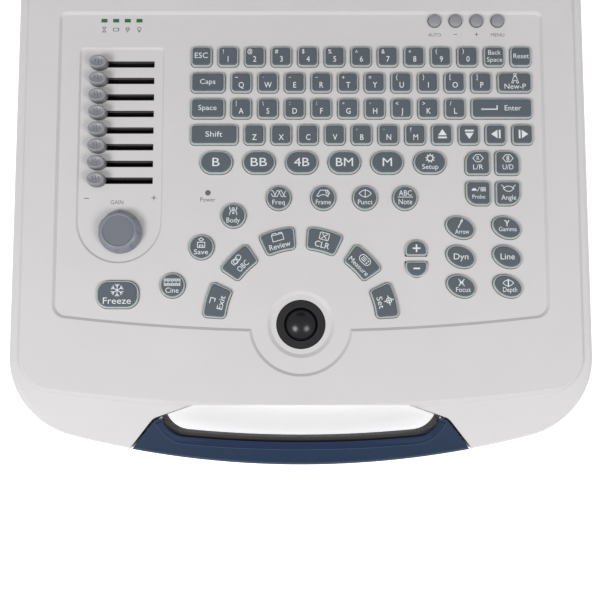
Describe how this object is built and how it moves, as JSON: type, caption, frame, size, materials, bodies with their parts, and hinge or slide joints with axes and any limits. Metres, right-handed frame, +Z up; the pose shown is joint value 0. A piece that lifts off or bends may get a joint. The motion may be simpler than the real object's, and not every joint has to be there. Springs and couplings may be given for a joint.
{
  "type": "ultrasound scanner",
  "caption": "Laptop-style ultrasound scanner: a keypad deck with a trackball, gain sliders and a carrying handle in front, under a hinged screen.",
  "frame": {"origin": "under the middle of the whole object with the screen open, at the height of the table", "axes": "X to the operator's right, Y from the operator to the back, Z up"},
  "size_m": [0.3646, 0.4388, 0.3538],
  "materials": {
    "ball_resin": "polished",
    "battery_sleeve": "shrunk sleeve",
    "case_plastic": "fine spark texture",
    "circuit_board": "solder mask",
    "dark_plastic": "matt",
    "display": "anti-glare polariser",
    "felt": "woolly felt",
    "handle_blue": "fine matt, moulded in colour",
    "key_plastic": "smooth moulded slate caps with clear-grey rims",
    "knob_plastic": "fine matt",
    "light_pipe": "clear acrylic, lit green",
    "rubber": "matt",
    "silicone": "matt translucent",
    "steel": "zinc plated",
    "supply_metal": "plain sheet"
  },
  "bodies": {
    "base": {"battery_door": "case_plastic", "battery_pack": "battery_sleeve", "case_screws": "steel", "fan_frame": "dark_plastic", "gain_encoder": "supply_metal", "handle_core": "dark_plastic", "handle_cover": "handle_blue", "hinge_brackets": "steel", "key_mat": "silicone", "keyboard_board": "circuit_board", "lower_case": "case_plastic", "main_board": "circuit_board", "power_inlet": "dark_plastic", "power_supply": "supply_metal", "probe_sockets": "dark_plastic", "rear_ports": "supply_metal", "rubber_feet": "rubber", "slider_board": "circuit_board", "slot_felts": "felt", "status_lights": "light_pipe", "switch_housing": "dark_plastic", "trackball_bearings": "steel", "trackball_housing": "dark_plastic", "trackball_ring": "dark_plastic", "upper_case": "case_plastic"},
    "screen": {"screen_back_cover": "case_plastic", "screen_bezel": "case_plastic", "lcd_panel": "display", "hinge_leaves": "steel", "lid_bumpers": "rubber", "lid_screws": "steel"},
    "number_row_keys": {"number_row_keys": "key_plastic"},
    "upper_letter_keys": {"upper_letter_keys": "key_plastic"},
    "home_letter_keys": {"home_letter_keys": "key_plastic"},
    "lower_letter_keys": {"lower_letter_keys": "key_plastic"},
    "mode_keys": {"mode_keys": "key_plastic"},
    "flip_and_probe_keys": {"flip_and_probe_keys": "key_plastic"},
    "round_keys": {"round_keys": "key_plastic"},
    "store_keys": {"store_keys": "key_plastic"},
    "freeze_key": {"freeze_key": "key_plastic"},
    "arc_keys": {"arc_keys": "key_plastic"},
    "plus_key": {"plus_key": "key_plastic"},
    "minus_key": {"minus_key": "key_plastic"},
    "image_keys": {"image_keys": "key_plastic"},
    "monitor_buttons": {"monitor_buttons": "knob_plastic"},
    "gain_slider_1": {"gain_slider_1": "knob_plastic"},
    "gain_slider_2": {"gain_slider_2": "knob_plastic"},
    "gain_slider_3": {"gain_slider_3": "knob_plastic"},
    "gain_slider_4": {"gain_slider_4": "knob_plastic"},
    "gain_slider_5": {"gain_slider_5": "knob_plastic"},
    "gain_slider_6": {"gain_slider_6": "knob_plastic"},
    "gain_slider_7": {"gain_slider_7": "knob_plastic"},
    "gain_slider_8": {"gain_slider_8": "knob_plastic"},
    "gain_knob": {"gain_knob": "knob_plastic"},
    "trackball": {"trackball": "ball_resin"},
    "fan_rotor": {"fan_rotor": "dark_plastic"},
    "power_switch": {"power_switch": "dark_plastic"}
  },
  "joints": [
    {"name": "screen_hinge", "type": "hinge", "parent": "base", "child": "screen", "pos_m": [0, 0.11121, 0.086], "axis": [1, 0, 0], "range_deg": [-25, 110]},
    {"name": "number_row_keys_press", "type": "slide", "parent": "base", "child": "number_row_keys", "axis": [0, 0, -1], "range_m": [0, 0.0012], "stiffness_N_per_m": 400, "springref_m": -0.001},
    {"name": "upper_letter_keys_press", "type": "slide", "parent": "base", "child": "upper_letter_keys", "axis": [0, 0, -1], "range_m": [0, 0.0012], "stiffness_N_per_m": 400, "springref_m": -0.001},
    {"name": "home_letter_keys_press", "type": "slide", "parent": "base", "child": "home_letter_keys", "axis": [0, 0, -1], "range_m": [0, 0.0012], "stiffness_N_per_m": 400, "springref_m": -0.001},
    {"name": "lower_letter_keys_press", "type": "slide", "parent": "base", "child": "lower_letter_keys", "axis": [0, 0, -1], "range_m": [0, 0.0012], "stiffness_N_per_m": 400, "springref_m": -0.001},
    {"name": "mode_keys_press", "type": "slide", "parent": "base", "child": "mode_keys", "axis": [0, 0, -1], "range_m": [0, 0.0012], "stiffness_N_per_m": 400, "springref_m": -0.001},
    {"name": "flip_and_probe_keys_press", "type": "slide", "parent": "base", "child": "flip_and_probe_keys", "axis": [0, 0, -1], "range_m": [0, 0.0012], "stiffness_N_per_m": 400, "springref_m": -0.001},
    {"name": "round_keys_press", "type": "slide", "parent": "base", "child": "round_keys", "axis": [0, 0, -1], "range_m": [0, 0.0012], "stiffness_N_per_m": 400, "springref_m": -0.001},
    {"name": "store_keys_press", "type": "slide", "parent": "base", "child": "store_keys", "axis": [0, 0, -1], "range_m": [0, 0.0012], "stiffness_N_per_m": 400, "springref_m": -0.001},
    {"name": "freeze_key_press", "type": "slide", "parent": "base", "child": "freeze_key", "axis": [0, 0, -1], "range_m": [0, 0.0012], "stiffness_N_per_m": 400, "springref_m": -0.001},
    {"name": "arc_keys_press", "type": "slide", "parent": "base", "child": "arc_keys", "axis": [0, 0, -1], "range_m": [0, 0.0012], "stiffness_N_per_m": 400, "springref_m": -0.001},
    {"name": "plus_key_press", "type": "slide", "parent": "base", "child": "plus_key", "axis": [0, 0, -1], "range_m": [0, 0.0012], "stiffness_N_per_m": 400, "springref_m": -0.001},
    {"name": "minus_key_press", "type": "slide", "parent": "base", "child": "minus_key", "axis": [0, 0, -1], "range_m": [0, 0.0012], "stiffness_N_per_m": 400, "springref_m": -0.001},
    {"name": "image_keys_press", "type": "slide", "parent": "base", "child": "image_keys", "axis": [0, 0, -1], "range_m": [0, 0.0012], "stiffness_N_per_m": 400, "springref_m": -0.001},
    {"name": "monitor_buttons_press", "type": "slide", "parent": "base", "child": "monitor_buttons", "axis": [0, 0, -1], "range_m": [0, 0.0012], "stiffness_N_per_m": 400, "springref_m": -0.001},
    {"name": "gain_slider_1_slide", "type": "slide", "parent": "base", "child": "gain_slider_1", "axis": [1, 0, 0], "range_m": [0, 0.03]},
    {"name": "gain_slider_2_slide", "type": "slide", "parent": "base", "child": "gain_slider_2", "axis": [1, 0, 0], "range_m": [0, 0.03]},
    {"name": "gain_slider_3_slide", "type": "slide", "parent": "base", "child": "gain_slider_3", "axis": [1, 0, 0], "range_m": [0, 0.03]},
    {"name": "gain_slider_4_slide", "type": "slide", "parent": "base", "child": "gain_slider_4", "axis": [1, 0, 0], "range_m": [0, 0.03]},
    {"name": "gain_slider_5_slide", "type": "slide", "parent": "base", "child": "gain_slider_5", "axis": [1, 0, 0], "range_m": [0, 0.03]},
    {"name": "gain_slider_6_slide", "type": "slide", "parent": "base", "child": "gain_slider_6", "axis": [1, 0, 0], "range_m": [0, 0.03]},
    {"name": "gain_slider_7_slide", "type": "slide", "parent": "base", "child": "gain_slider_7", "axis": [1, 0, 0], "range_m": [0, 0.03]},
    {"name": "gain_slider_8_slide", "type": "slide", "parent": "base", "child": "gain_slider_8", "axis": [1, 0, 0], "range_m": [0, 0.03]},
    {"name": "gain_knob_turn", "type": "hinge", "parent": "base", "child": "gain_knob", "pos_m": [-0.1136, -0.07379, 0.0655], "axis": [0, 0, 1], "continuous": true},
    {"name": "trackball_roll", "type": "hinge", "parent": "base", "child": "trackball", "pos_m": [0, -0.13179, 0.0561], "axis": [1, 0, 0], "continuous": true},
    {"name": "fan_spin", "type": "hinge", "parent": "base", "child": "fan_rotor", "pos_m": [-0.1712, -0.00178, 0.027], "axis": [1, 0, 0], "continuous": true},
    {"name": "power_switch_rock", "type": "hinge", "parent": "base", "child": "power_switch", "pos_m": [-0.098, 0.12932, 0.027], "axis": [-1, 0, 0], "range_deg": [0, 28]}
  ]
}
